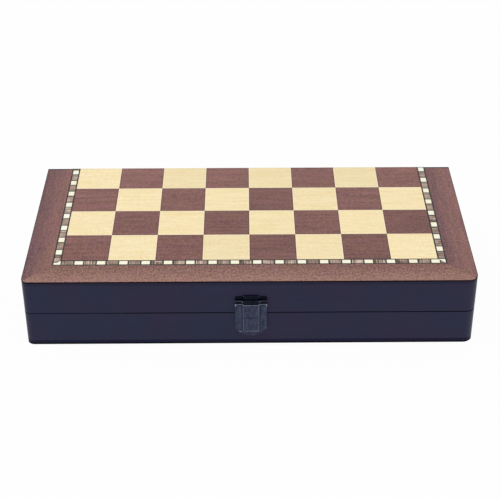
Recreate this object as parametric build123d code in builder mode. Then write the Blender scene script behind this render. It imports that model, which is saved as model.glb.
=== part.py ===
"""Folding chess case: two wooden trays hinged at the back, with half of the board on the outside of each.

The closed case stands on its base half. The origin is the middle of its underside, +Z is up and the
catch is on the front, towards -Y. All sizes are in millimetres.
"""

from build123d import *
from math import radians, sin, sqrt
import os

os.makedirs("parts", exist_ok=True)

# Playing field: each half of the case carries 8 by 4 squares
square = 40.0
squares_across = 8
rows_per_half = 4
side_border = 30.0  # from the case's side to the edge of the field
front_border = 31.0  # from the case's front to the edge of the field
fold_trim = 2.5  # taken off the hinge-side row when the board was sawn in two

# The closed case
case_width = squares_across * square + 2 * side_border
case_depth = front_border + rows_per_half * square - fold_trim
case_height = 65.0
corner_radius = 5.0  # upright corners at the front
fold_radius = 2.0  # upright corners at the fold, where the halves meet
rim_gap = 0.1  # hairline between the closed rims
rim_ease = 0.4  # bevel along each rim's outer edge, down the side
rim_ease_in = 1.2  # and in from the side, so that the closed rims show a dark line
arris_ease = 0.4  # eased outer edge of each playing face

# Boards, veneers and lining
rail_thickness = 10.0
panel_thickness = 4.0
veneer = 0.6
lining = 1.0
lining_clearance = 0.3
glue_line = 0.04  # hairline between neighbouring veneers of one colour

# Marquetry band, let in round three sides of the field
band_side_inset = 23.1  # from the case's side to the band
band_front_inset = 24.0  # from the case's front to the band
line_width = 1.25  # black stringing along both edges
core_width = 5.1  # blocks between the two strings
cream_length = 7.0
dark_slip = 1.3  # slips of a striped block: dark, tan, brown, tan, dark
tan_slip = 3.1
front_pitch = 18.85  # from one cream block to the next
side_pitch = 19.6
front_start = 6.35  # a cream block's place along the front, from the middle
left_start = 44.3  # a cream block's place on the left, from the front
right_start = 46.8

# Butt hinges, with their pins on the parting plane
hinge_inset = 62.0  # from the case's side to the middle of a hinge
leaf_length = 32.0
leaf_sheet = 1.0
leaf_setback = 1.5  # wood left between the leaf and the inside of the rail
knuckle_radius = 2.0
knuckle_count = 3
hinge_pin_radius = 1.0
running_clearance = 0.05
moving_gap = 0.3  # between knuckles, and round a knuckle
fold_gap = 0.15  # from a half's back to the pin's axis
screw_spacing = 20.0
screw_head_radius = 1.9
screw_shank_radius = 1.0
screw_length = 8.0
driven_clearance = 0.05  # round a screw or nail in its hole

# Snap catch in the middle of the front
catch_x = 0.8
catch_width = 26.8
catch_sheet = 0.9
catch_pin_height = 12.2  # pin above the parting plane
catch_knuckle_radius = 1.8
catch_pin_radius = 0.7
plate_rise = 4.4  # plate's top above the pin
tab_rise = 5.5  # top of the plate's middle above the pin
middle_width = 13.8  # plate's middle knuckle
tab_relief = 0.8  # how far the plate's middle stands out
plate_corner = 1.0
flap_drop = 33.6  # flap's lowest point below the pin
flap_side_drop = 27.3  # where the flap's straight sides end
flap_out = 1.5  # gap between the wood and the flap
flap_corner = 5.0
lip_radius = 8.0
lip_angle = 30.0
channel_width = 12.8
channel_rise = 1.1
channel_drop = 29.0  # channel's lower end below the pin
channel_ease = 0.5
dent_radius = 0.9  # dent that snaps under the keeper's nose
dent_margin = 1.0  # flat left at each end of the dent
dent_reach = 0.7  # how far the dent stands into the channel
dent_depth = 0.5  # how deep it shows from outside
keeper_width = 10.0
keeper_sheet = 0.8
keeper_height = 14.0
keeper_top_gap = 0.6  # keeper's top below the parting plane
nose_margin = 1.5  # room at each end of the nose, inside the channel
nose_height = 1.7
nail_head_radius = 1.0
nail_head_height = 0.6
nail_shank_radius = 0.6
nail_length = 7.0
keeper_nail_drops = (6.0, 11.0)  # keeper's nails below its top

# Levels in the base half; the lid half is the same, mirrored at the parting plane
parting = case_height / 2
rim = parting - rim_gap / 2
rail_foot = veneer + panel_thickness
rail_height = rim - rail_foot
inner_width = case_width - 2 * rail_thickness
inner_depth = case_depth - 2 * rail_thickness
front = -case_depth / 2
back = case_depth / 2
side = case_width / 2
parting_plane = Plane.XY.offset(parting)

# Lines of the band, measured from its outer edge
band_width = 2 * line_width + core_width
field_side = side - band_side_inset - band_width
field_front = front + band_front_inset + band_width
brown_slip = {
    "front": front_pitch - cream_length - 2 * (dark_slip + tan_slip),
    "left": side_pitch - cream_length - 2 * (dark_slip + tan_slip),
    "right": side_pitch - cream_length - 2 * (dark_slip + tan_slip),
}

# Plan of the case, with round corners at the front and nearly sharp ones at the fold
with BuildSketch() as case_plan:
    Rectangle(case_width, case_depth)
    corners = case_plan.vertices().group_by(Axis.Y)
    fillet(corners[0], corner_radius)
    fillet(corners[-1], fold_radius)


def write(piece, name):
    """Labels a finished piece and writes it under its name."""
    piece.part.label = name
    export_step(piece.part, f"parts/{name}.step")


def build_panel(half):
    """Playing panel, as wide as the case, which closes one tray."""
    with BuildPart() as panel:
        with BuildSketch(Plane.XY.offset(veneer)):
            add(case_plan.sketch)
        extrude(amount=panel_thickness)
        if half == "lid":
            mirror(about=parting_plane, mode=Mode.REPLACE)
    write(panel, f"{half}_panel")


def rail_wedge(place):
    """Corners of the area that one rail takes up, between its two mitres."""
    reach = 2 * rail_thickness
    outer = [(-side, front), (side, front), (side, back), (-side, back)]
    inner = [
        (-side + reach, front + reach),
        (side - reach, front + reach),
        (side - reach, back - reach),
        (-side + reach, back - reach),
    ]
    first = ("front", "right", "back", "left").index(place)
    second = (first + 1) % 4
    return [outer[first], outer[second], inner[second], inner[first]]


# Hinges: where their pins lie, and the stretches of their knuckles
hinge_places = {"left": -side + hinge_inset, "right": side - hinge_inset}
hinge_axis = back + fold_gap
leaf_reach = rail_thickness - leaf_setback
knuckle_pitch = leaf_length / knuckle_count
groove_radius = knuckle_radius + moving_gap
screw_row = back - rail_thickness / 2


def knuckle_stretch(index):
    """Start and length of one knuckle, from the hinge's left end."""
    start = index * knuckle_pitch + (moving_gap / 2 if index > 0 else 0)
    end = (index + 1) * knuckle_pitch - (moving_gap / 2 if index < knuckle_count - 1 else 0)
    return start, end - start


def screw_places():
    """Places of the screws along the case, for both hinges."""
    return [x + step * screw_spacing / 2 for x in hinge_places.values() for step in (-1, 1)]


def cut_hinge_seats():
    """Cuts the leaf mortises, barrel grooves and screw holes of both hinges into the back rail."""
    for x in hinge_places.values():
        with BuildSketch(Plane.XY.offset(rim)) as mortise:
            with Locations((x, back)):
                Rectangle(leaf_length, leaf_reach, align=(Align.CENTER, Align.MAX))
        extrude(mortise.sketch, amount=-leaf_sheet, mode=Mode.SUBTRACT)
        groove_length = leaf_length + 2 * moving_gap
        with BuildSketch(Plane.YZ.offset(x - groove_length / 2)) as groove:
            with Locations((hinge_axis, parting)):
                Circle(groove_radius)
        extrude(groove.sketch, amount=groove_length, mode=Mode.SUBTRACT)
    with Locations(*[(x, screw_row, rim - leaf_sheet) for x in screw_places()]):
        Hole(radius=screw_shank_radius + driven_clearance, depth=screw_length)


# Catch: its pin, the levels of its parts and the nails that hold it
catch_front = Plane.XZ.offset(-front)
catch_left = catch_x - catch_width / 2
catch_pin_level = parting + catch_pin_height
catch_pin_out = catch_knuckle_radius + moving_gap
keeper_top = parting - keeper_top_gap
channel_room = channel_width - 2 * catch_sheet
dent_length = channel_room - 2 * dent_margin
nose_width = channel_room - 2 * nose_margin
wing_middle = (catch_width + middle_width) / 4
wing_level = catch_pin_level + (catch_pin_out + plate_rise) / 2
nail_spots = {
    "lid": [(catch_x + step * wing_middle, wing_level) for step in (-1, 1)],
    "base": [(catch_x, keeper_top - drop) for drop in keeper_nail_drops],
}


def cut_nail_holes(half):
    """Cuts the holes of the catch's nails into the front rail of one half, drawn as a base rail."""
    for x, z in nail_spots[half]:
        level = z if half == "base" else case_height - z
        with BuildSketch(catch_front) as hole:
            with Locations((x, level)):
                Circle(nail_shank_radius + driven_clearance)
        extrude(hole.sketch, amount=-nail_length, mode=Mode.SUBTRACT)


def build_rail(half, place):
    """One mitred rail of a tray, with a bevelled outer rim."""
    with BuildPart() as rail:
        with BuildSketch(Plane.XY.offset(rail_foot)):
            add(case_plan.sketch)
            Rectangle(inner_width, inner_depth, mode=Mode.SUBTRACT)
        extrude(amount=rail_height)
        rim_face = rail.faces().sort_by(Axis.Z)[-1]
        chamfer(rim_face.outer_wire().edges(), rim_ease_in, rim_ease, reference=rim_face)
        with BuildSketch(Plane.XY.offset(rail_foot)):
            with BuildLine():
                Polyline(*rail_wedge(place), close=True)
            make_face()
        extrude(amount=rail_height, mode=Mode.INTERSECT)
        if place == "back":
            cut_hinge_seats()
        if place == "front":
            cut_nail_holes(half)
        if half == "lid":
            mirror(about=parting_plane, mode=Mode.REPLACE)
    write(rail, f"{half}_{place}_rail")


def build_border(half, place):
    """One mitred strip of border veneer, from the case's edge to the band."""
    inner_side = side - band_side_inset
    inner_front = front + band_front_inset
    outlines = {
        "front": [(-side, front), (side, front), (inner_side, inner_front), (-inner_side, inner_front)],
        "left": [(-side, front), (-inner_side, inner_front), (-inner_side, back), (-side, back)],
        "right": [(side, front), (side, back), (inner_side, back), (inner_side, inner_front)],
    }
    with BuildPart() as border:
        with BuildSketch():
            add(case_plan.sketch)
        extrude(amount=veneer)
        chamfer(border.faces().sort_by(Axis.Z)[0].edges(), arris_ease)
        with BuildSketch():
            with BuildLine():
                Polyline(*outlines[place], close=True)
            make_face()
        extrude(amount=veneer, mode=Mode.INTERSECT)
        if half == "lid":
            mirror(about=parting_plane, mode=Mode.REPLACE)
    write(border, f"{half}_{place}_border")


def square_lines():
    """Lines between the squares across and along one half; the outer ones are the band's edges."""
    across = [-side + side_border + i * square for i in range(squares_across + 1)]
    across[0], across[-1] = -field_side, field_side
    along = [front + front_border + j * square for j in range(rows_per_half + 1)]
    along[0], along[-1] = field_front, back
    return across, along


def build_squares(half, colour):
    """All square veneers of one colour on one half; dark fills the left front corner of the lid."""
    across, along = square_lines()
    odd = (colour == "light") != (half == "base")
    with BuildPart() as squares:
        with BuildSketch():
            for i in range(squares_across):
                for j in range(rows_per_half):
                    if (i + j) % 2 == int(odd):
                        with Locations(((across[i] + across[i + 1]) / 2, (along[j] + along[j + 1]) / 2)):
                            Rectangle(
                                across[i + 1] - across[i] - glue_line,
                                along[j + 1] - along[j] - glue_line,
                            )
        extrude(amount=veneer)
        if half == "lid":
            mirror(about=parting_plane, mode=Mode.REPLACE)
    write(squares, f"{half}_{colour}_squares")


def band_strip(place, start, end):
    """Corners of a mitred strip of the band, between two distances from the band's outer edge."""
    start = start + glue_line / 2
    end = end - glue_line / 2
    mitre = glue_line / sqrt(2)
    x_start, x_end = (side - band_side_inset - away for away in (start, end))
    y_start, y_end = (front + band_front_inset + away for away in (start, end))
    if place == "front":
        return [
            (-x_start + mitre, y_start),
            (x_start - mitre, y_start),
            (x_end - mitre, y_end),
            (-x_end + mitre, y_end),
        ]
    turn = -1 if place == "left" else 1
    return [
        (turn * x_start, y_start + mitre),
        (turn * x_end, y_end + mitre),
        (turn * x_end, back),
        (turn * x_start, back),
    ]


def build_band_lines(half):
    """Black stringing along both edges of the band, mitred at the corners."""
    with BuildPart() as lines:
        with BuildSketch():
            for start in (0, line_width + core_width):
                for place in ("left", "front", "right"):
                    with BuildLine():
                        Polyline(*band_strip(place, start, start + line_width), close=True)
                    make_face()
        extrude(amount=veneer)
        if half == "lid":
            mirror(about=parting_plane, mode=Mode.REPLACE)
    write(lines, f"{half}_band_lines")


def slip_centres(kind, place):
    """Length of one kind of slip, and its centres from the middle of a cream block."""
    brown = brown_slip[place]
    dark_place = (cream_length + dark_slip) / 2
    tan_place = cream_length / 2 + dark_slip + tan_slip / 2
    brown_place = cream_length / 2 + dark_slip + tan_slip + brown / 2
    return {
        "creams": (cream_length, [0]),
        "darks": (dark_slip, [-dark_place, dark_place]),
        "tans": (tan_slip, [-tan_place, tan_place]),
        "browns": (brown, [brown_place]),
    }[kind]


def slip_spots(kind, place):
    """Centres of all slips of one kind along one side of the band."""
    pitch = front_pitch if place == "front" else side_pitch
    start = {"front": front_start, "left": front + left_start, "right": front + right_start}[place]
    run = (-side, side) if place == "front" else (front, back)
    length, offsets = slip_centres(kind, place)
    repeats = range(-int((start - run[0]) / pitch) - 1, int((run[1] - start) / pitch) + 2)
    spots = [start + repeat * pitch + offset for repeat in repeats for offset in offsets]
    low = run[0] + (band_side_inset if place == "front" else band_front_inset) + line_width
    high = run[1] - (band_side_inset + line_width if place == "front" else 0)
    return [spot for spot in spots if spot + length / 2 > low + glue_line and spot - length / 2 < high - glue_line]


def build_band_slips(half, kind):
    """All slips of one kind between the two strings, cut to the mitres at the corners."""
    core_middle = line_width + core_width / 2
    with BuildPart() as slips:
        for place in ("left", "front", "right"):
            length = slip_centres(kind, place)[0] - glue_line
            with BuildSketch():
                for spot in slip_spots(kind, place):
                    if place == "front":
                        with Locations((spot, front + band_front_inset + core_middle)):
                            Rectangle(length, core_width)
                    else:
                        turn = -1 if place == "left" else 1
                        with Locations((turn * (side - band_side_inset - core_middle), spot)):
                            Rectangle(core_width, length)
                with BuildLine():
                    Polyline(*band_strip(place, line_width, line_width + core_width), close=True)
                make_face(mode=Mode.INTERSECT)
            extrude(amount=veneer)
        if half == "lid":
            mirror(about=parting_plane, mode=Mode.REPLACE)
    write(slips, f"{half}_band_{kind}")


def build_lining(half):
    """Felt on the floor of one tray."""
    with BuildPart() as felt:
        with BuildSketch(Plane.XY.offset(rail_foot)):
            Rectangle(inner_width - 2 * lining_clearance, inner_depth - 2 * lining_clearance)
        extrude(amount=lining)
        if half == "lid":
            mirror(about=parting_plane, mode=Mode.REPLACE)
    write(felt, f"{half}_lining")


def build_leaf(half, name, x):
    """Hinge leaf with its knuckles: two on the base leaf, one on the lid leaf between them."""
    own = range(0 if half == "base" else 1, knuckle_count, 2)
    left_end = x - leaf_length / 2
    with BuildPart() as leaf:
        with BuildSketch(Plane.XY.offset(rim - leaf_sheet)):
            with Locations((x, back - leaf_reach)):
                Rectangle(
                    leaf_length,
                    hinge_axis - groove_radius - back + leaf_reach,
                    align=(Align.CENTER, Align.MIN),
                )
        extrude(amount=leaf_sheet)
        for index in own:
            start, length = knuckle_stretch(index)
            with BuildSketch(Plane.YZ.offset(left_end + start)):
                with Locations((hinge_axis, parting)):
                    Circle(knuckle_radius)
                with Locations((hinge_axis, rim)):
                    Rectangle(groove_radius, leaf_sheet, align=(Align.MAX, Align.MAX))
            extrude(amount=length)
        with BuildSketch(Plane.YZ.offset(left_end)):
            with Locations((hinge_axis, parting)):
                Circle(hinge_pin_radius + running_clearance)
        extrude(amount=leaf_length, mode=Mode.SUBTRACT)
        with Locations(*[(x + step * screw_spacing / 2, screw_row, rim) for step in (-1, 1)]):
            CounterSinkHole(
                radius=screw_shank_radius + driven_clearance,
                counter_sink_radius=screw_head_radius + driven_clearance,
                counter_sink_angle=90,
            )
        if half == "lid":
            mirror(about=parting_plane, mode=Mode.REPLACE)
    write(leaf, f"hinge_{name}_{half}_leaf")


def build_hinge_pin(name, x):
    """Pin through all knuckles of one hinge."""
    with BuildPart() as pin:
        with BuildSketch(Plane.YZ.offset(x - leaf_length / 2)):
            with Locations((hinge_axis, parting)):
                Circle(hinge_pin_radius)
        extrude(amount=leaf_length)
    write(pin, f"hinge_{name}_pin")


def build_hinge_screws(half):
    """Countersunk screws of one half's leaves, flush with the leaf."""
    head_height = screw_head_radius - screw_shank_radius
    with BuildPart() as screws:
        for x in screw_places():
            with BuildSketch(Plane.XZ.offset(-screw_row)):
                with BuildLine():
                    Polyline(
                        (x, rim),
                        (x + screw_head_radius, rim),
                        (x + screw_shank_radius, rim - head_height),
                        (x + screw_shank_radius, rim - screw_length),
                        (x, rim - screw_length),
                        close=True,
                    )
                make_face()
            revolve(axis=Axis((x, screw_row, 0), (0, 0, 1)))
        if half == "lid":
            mirror(about=parting_plane, mode=Mode.REPLACE)
    write(screws, f"hinge_{half}_screws")


def add_catch_knuckle(start, length):
    """One knuckle of the catch, round its pin."""
    with BuildSketch(Plane.YZ.offset(start)) as ring:
        with Locations((front - catch_pin_out, catch_pin_level)):
            Circle(catch_knuckle_radius)
    extrude(ring.sketch, amount=length)


def bore_catch_knuckles():
    """Bore for the catch's pin, right through its width."""
    with BuildSketch(Plane.YZ.offset(catch_left)) as bore:
        with Locations((front - catch_pin_out, catch_pin_level)):
            Circle(catch_pin_radius + running_clearance)
    extrude(bore.sketch, amount=catch_width, mode=Mode.SUBTRACT)


def cut_sheet_holes(spots, sheet):
    """Nail holes through a sheet that lies on the front."""
    with BuildSketch(catch_front) as holes:
        with Locations(*spots):
            Circle(nail_shank_radius + driven_clearance)
    extrude(holes.sketch, amount=sheet, mode=Mode.SUBTRACT)


def build_catch_plate():
    """Plate nailed to the lid, with a raised middle that ends in the middle knuckle."""
    with BuildPart() as plate:
        with BuildSketch(catch_front) as wings:
            with Locations((catch_x, catch_pin_level + catch_pin_out)):
                Rectangle(catch_width, plate_rise - catch_pin_out, align=(Align.CENTER, Align.MIN))
            fillet(wings.vertices().group_by(Axis.Y)[-1], plate_corner)
        extrude(amount=catch_sheet)
        with BuildSketch(catch_front) as middle:
            with Locations((catch_x, catch_pin_level)):
                Rectangle(middle_width, tab_rise, align=(Align.CENTER, Align.MIN))
            fillet(middle.vertices().group_by(Axis.Y)[-1], plate_corner)
        extrude(amount=catch_sheet + tab_relief)
        chamfer(plate.faces().sort_by(Axis.Y)[0].edges().group_by(Axis.Z)[1:], channel_ease)
        add_catch_knuckle(catch_x - middle_width / 2, middle_width)
        bore_catch_knuckles()
        cut_sheet_holes(nail_spots["lid"], catch_sheet)
    write(plate, "catch_plate")


def build_catch_flap():
    """Sheet flap that hangs from the plate, with a pressed channel, a dent and a finger lip."""
    flap_top = catch_pin_level - catch_pin_out
    flap_low = catch_pin_level - flap_drop
    side_low = catch_pin_level - flap_side_drop
    catch_right = catch_left + catch_width
    spine = front - flap_out - catch_sheet / 2
    dent_level = keeper_top - nose_height - moving_gap - dent_radius
    inner_face = front - flap_out - channel_rise
    outer_face = inner_face - catch_sheet
    with BuildPart() as flap:
        with BuildSketch(Plane.YZ.offset(catch_left)):
            with BuildLine():
                hang = Line((spine, flap_top), (spine, flap_low + lip_radius * sin(radians(lip_angle))))
                JernArc(hang @ 1, hang % 1, lip_radius, -lip_angle)
            trace(line_width=catch_sheet)
        extrude(amount=catch_width)
        with BuildSketch(catch_front) as outline:
            with BuildLine():
                left = Line((catch_left, flap_top), (catch_left, side_low))
                foot = ThreePointArc(left @ 1, (catch_x, flap_low), (catch_right, side_low))
                Polyline(foot @ 1, (catch_right, flap_top), left @ 0)
            make_face()
            fillet(outline.vertices().group_by(Axis.Y)[0], flap_corner)
        extrude(amount=2 * catch_pin_out, mode=Mode.INTERSECT)
        with BuildSketch(catch_front.offset(flap_out + catch_sheet)):
            with Locations((catch_x, flap_top)):
                Rectangle(channel_width, channel_drop - catch_pin_out, align=(Align.CENTER, Align.MAX))
        extrude(amount=channel_rise)
        chamfer(flap.faces().sort_by(Axis.Y)[0].edges().group_by(Axis.Z)[:-1], channel_ease)
        with BuildSketch(catch_front.offset(flap_out)):
            with Locations((catch_x, flap_top)):
                Rectangle(
                    channel_room,
                    channel_drop - catch_pin_out - catch_sheet,
                    align=(Align.CENTER, Align.MAX),
                )
        extrude(amount=channel_rise, mode=Mode.SUBTRACT)
        with BuildSketch(Plane.YZ.offset(catch_x - dent_length / 2)):
            with Locations((inner_face + dent_reach - dent_radius, dent_level)):
                Circle(dent_radius)
        extrude(amount=dent_length)
        with BuildSketch(Plane.YZ.offset(catch_x - dent_length / 2)):
            with Locations((outer_face + dent_depth - dent_radius, dent_level)):
                Circle(dent_radius)
        extrude(amount=dent_length, mode=Mode.SUBTRACT)
        wing = (catch_width - middle_width) / 2 - moving_gap
        with BuildSketch(catch_front.offset(flap_out)):
            with Locations((catch_left, flap_top), (catch_right - wing, flap_top)):
                Rectangle(wing, catch_pin_out, align=(Align.MIN, Align.MIN))
        extrude(amount=catch_sheet)
        add_catch_knuckle(catch_left, wing)
        add_catch_knuckle(catch_right - wing, wing)
        bore_catch_knuckles()
    write(flap, "catch_flap")


def build_catch_pin():
    """Pin through the knuckles of the catch."""
    with BuildPart() as pin:
        with BuildSketch(Plane.YZ.offset(catch_left)):
            with Locations((front - catch_pin_out, catch_pin_level)):
                Circle(catch_pin_radius)
        extrude(amount=catch_width)
    write(pin, "catch_pin")


def build_catch_keeper():
    """Keeper nailed to the base, with a hooked nose that the flap's dent snaps under."""
    nose_out = flap_out + channel_rise - moving_gap
    with BuildPart() as keeper:
        with BuildSketch(catch_front) as sheet:
            with Locations((catch_x, keeper_top)):
                Rectangle(keeper_width, keeper_height, align=(Align.CENTER, Align.MAX))
            fillet(sheet.vertices().group_by(Axis.Y)[0], plate_corner)
        extrude(amount=keeper_sheet)
        with BuildSketch(Plane.YZ.offset(catch_x - nose_width / 2)):
            with BuildLine():
                Polyline(
                    (front - keeper_sheet, keeper_top),
                    (front - keeper_sheet, keeper_top - nose_height),
                    (front - nose_out, keeper_top - nose_height),
                )
                TangentArc(
                    (front - nose_out, keeper_top - nose_height),
                    (front - keeper_sheet, keeper_top),
                    tangent=(0, 1),
                )
            make_face()
        extrude(amount=nose_width)
        cut_sheet_holes(nail_spots["base"], keeper_sheet)
    write(keeper, "catch_keeper")


def build_nails(name, spots, sheet):
    """Nails with coned heads through a sheet that lies on the front."""
    seat = front - sheet
    with BuildPart() as nails:
        for x, z in spots:
            with BuildSketch(Plane.XY.offset(z)):
                with BuildLine():
                    Polyline(
                        (x, seat - nail_head_height),
                        (x, seat + nail_length),
                        (x + nail_shank_radius, seat + nail_length),
                        (x + nail_shank_radius, seat),
                        (x + nail_head_radius, seat),
                        (x + nail_head_radius / 2, seat - nail_head_height),
                        close=True,
                    )
                make_face()
            revolve(axis=Axis((x, seat, z), (0, 1, 0)))
    write(nails, name)


for half in ("base", "lid"):
    build_panel(half)
    for place in ("front", "back", "left", "right"):
        build_rail(half, place)
    for place in ("front", "left", "right"):
        build_border(half, place)
    for colour in ("light", "dark"):
        build_squares(half, colour)
    build_band_lines(half)
    for kind in ("creams", "tans", "browns", "darks"):
        build_band_slips(half, kind)
    build_lining(half)
    for name, x in hinge_places.items():
        build_leaf(half, name, x)
    build_hinge_screws(half)
for name, x in hinge_places.items():
    build_hinge_pin(name, x)
build_catch_plate()
build_catch_flap()
build_catch_pin()
build_catch_keeper()
build_nails("catch_plate_nails", nail_spots["lid"], catch_sheet)
build_nails("catch_keeper_nails", nail_spots["base"], keeper_sheet)
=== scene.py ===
"""Looks of a folding chess case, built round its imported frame: veneers, lacquer, metal, felt and studio.

Lengths are in metres in the frame's own axes: +Z is up and the catch is on the front, towards -Y. Sizes
that are easier to read in millimetres are written as such and multiplied by MM.
"""

import logging
from collections.abc import Callable, Iterable
from dataclasses import dataclass
from enum import Enum
from functools import cache
from math import cos, pi, radians, sin

import bmesh
import bpy
from bmesh.types import BMEdge, BMesh, BMFace, BMVert
from bpy.types import Material, Node, NodeSocket, NodeTree, Object
from mathutils import Matrix, Vector, noise


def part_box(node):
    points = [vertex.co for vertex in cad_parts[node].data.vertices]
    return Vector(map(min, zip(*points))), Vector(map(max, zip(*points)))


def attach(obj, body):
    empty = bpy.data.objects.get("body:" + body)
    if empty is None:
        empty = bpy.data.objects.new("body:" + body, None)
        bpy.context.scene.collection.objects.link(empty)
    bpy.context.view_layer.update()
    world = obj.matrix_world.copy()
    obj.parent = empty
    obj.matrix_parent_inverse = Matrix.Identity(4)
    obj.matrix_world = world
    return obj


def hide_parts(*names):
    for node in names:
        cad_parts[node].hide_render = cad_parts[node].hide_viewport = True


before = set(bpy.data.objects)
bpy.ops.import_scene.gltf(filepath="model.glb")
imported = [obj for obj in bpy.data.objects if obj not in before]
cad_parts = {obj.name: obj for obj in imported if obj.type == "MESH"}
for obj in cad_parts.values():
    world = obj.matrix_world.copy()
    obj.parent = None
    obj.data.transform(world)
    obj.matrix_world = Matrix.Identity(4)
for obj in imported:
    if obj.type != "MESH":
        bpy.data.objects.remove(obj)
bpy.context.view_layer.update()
log = logging.getLogger("chess_case")

MM = 0.001
MERGE = 0.001 * MM  # vertices nearer than this are one
NEAR = 0.02 * MM  # points nearer than this to a plane lie on it
LEVEL = 0.9  # a face whose normal has more than this along Z lies level
FLAT_DEG = 0.4  # faces that turn less than this are one flat face
SMOOTH_DEG = 32.0  # edges that turn less than this are shaded round
WEAR_AND_LIGHT_MARK = "wear"  # face attribute that says how a face has been used and where light or shade is painted on it, with the values of the enum below
CORNER = 5.0 * MM  # radius of the upright front corners in the frame
SANDED_CORNERS = ((-1, 6.0 * MM), (1, 8.5 * MM))  # what sanding made of them, left and right
EASED_IN = 1.5 * MM  # how far in from a corner its eased edges reach
DOME_STEPS = 4  # chords of the rounding at a pin's end
SPAN = {"From Min": 0.3, "From Max": 0.7}  # where nearly all values of a noise lie
CORE = {"From Min": 0.35, "From Max": 0.65}  # where most of them lie
BLEND = {"data_type": "RGBA"}  # a mix of two colours
TINTED = {"data_type": "RGBA", "blend_type": "MULTIPLY"}  # a colour times a tint
OLIVE = (1.0, 1.03, 0.9, 1.0)  # two tints, as gains on red, green and blue
VIOLET = (1.03, 0.97, 1.1, 1.0)
FULL_AT = 0.4  # share of a painted line's width, from its edge, that has its full colour


class Half(Enum):
    """The two halves of the case; each is a body of the frame."""

    BASE = "base"
    LID = "lid"


class Axis(Enum):
    """The axes of the frame, as unit vectors."""

    X = (1.0, 0.0, 0.0)
    Y = (0.0, 1.0, 0.0)
    Z = (0.0, 0.0, 1.0)


class Grain(Enum):
    """Which way a veneer's fibres run: across the board, or from the front to the fold."""

    ACROSS = "across"
    ALONG = "along"


class WearAndLight(Enum):
    """How a face is marked: painted shade, full and partial, plain, and rubbed paler and rubbed bright,
    partly as painted highlights.
    """

    # Painted shade, in full and at 40 percent.
    SHADED = -1.0
    HALF_PAINTED_SHADE = -0.4
    PLAIN = 0.0
    # Rubbed paler and rubbed bright: wear, partly put where light catches as a painted highlight.
    RUB_AND_HIGHLIGHT = 1.0
    BRIGHT = 2.0


def linear(code: str) -> tuple[float, float, float, float]:
    """Turns an sRGB colour into the linear colour that a shader needs.

    Args:
        code: The colour as six hex digits.

    Returns:
        Red, green, blue and an alpha of 1.
    """
    parts = [int(code[i : i + 2], 16) / 255 for i in (0, 2, 4)]
    red, green, blue = (p / 12.92 if p <= 0.04045 else ((p + 0.055) / 1.055) ** 2.4 for p in parts)
    return red, green, blue, 1.0


def per_metre(*sizes_mm: float) -> tuple[float, ...]:
    """Scale of a pattern whose patches have these sizes: how many of them there are to a metre."""
    return tuple(1 / (size * MM) for size in sizes_mm)


def add_node(
    tree: NodeTree,
    kind: str,
    values: dict[str | int, object] | None = None,
    links: dict[str | int, NodeSocket | Node] | None = None,
    **settings: object,
) -> Node:
    """Adds a node with its settings and links.

    Args:
        tree: The node tree.
        kind: Blender's name for the node's type, without its ShaderNode.
        values: Constants for its sockets, by name or by number among those in use.
        links: What drives its sockets: a socket of another node, or a node for its first output.
        settings: The node's own choices.

    Returns:
        The node.
    """
    node = tree.nodes.new(f"ShaderNode{kind}")
    for key, value in settings.items():
        setattr(node, key, value)
    used = [socket for socket in node.inputs if socket.enabled]
    sockets = {socket.name: socket for socket in reversed(used)} | dict(enumerate(used))
    for key, value in (values or {}).items():
        sockets[key].default_value = value
    for key, source in (links or {}).items():
        if isinstance(source, Node):
            source = next(socket for socket in source.outputs if socket.enabled)
        tree.links.new(source, sockets[key])
    return node


@dataclass(frozen=True)
class Finish:
    """A finish of the case, made into a material once."""

    name: str

    @cache
    def material(self) -> Material:
        """Returns the finish's material."""
        return self.mix()

    def mix(self) -> Material:
        """Makes the material."""
        raise NotImplementedError

    def start(self) -> tuple[Material, NodeTree, NodeSocket]:
        """Starts the material and returns it with its node tree and the piece's own coordinates."""
        material = bpy.data.materials.new(self.name)
        material.use_nodes = True
        material.node_tree.nodes.clear()
        place = add_node(material.node_tree, "TexCoord").outputs["Object"]
        return material, material.node_tree, place

    def coat(self, material: Material, constants: dict[str, object], sources: dict[str, Node]) -> Material:
        """Gives the material its surface.

        Args:
            material: The material.
            constants: Settings that are the same all over the surface.
            sources: The nodes that drive the others.

        Returns:
            The material.
        """
        skin = add_node(material.node_tree, "BsdfPrincipled", constants, sources)
        add_node(material.node_tree, "OutputMaterial", links={"Surface": skin})
        return material


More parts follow.
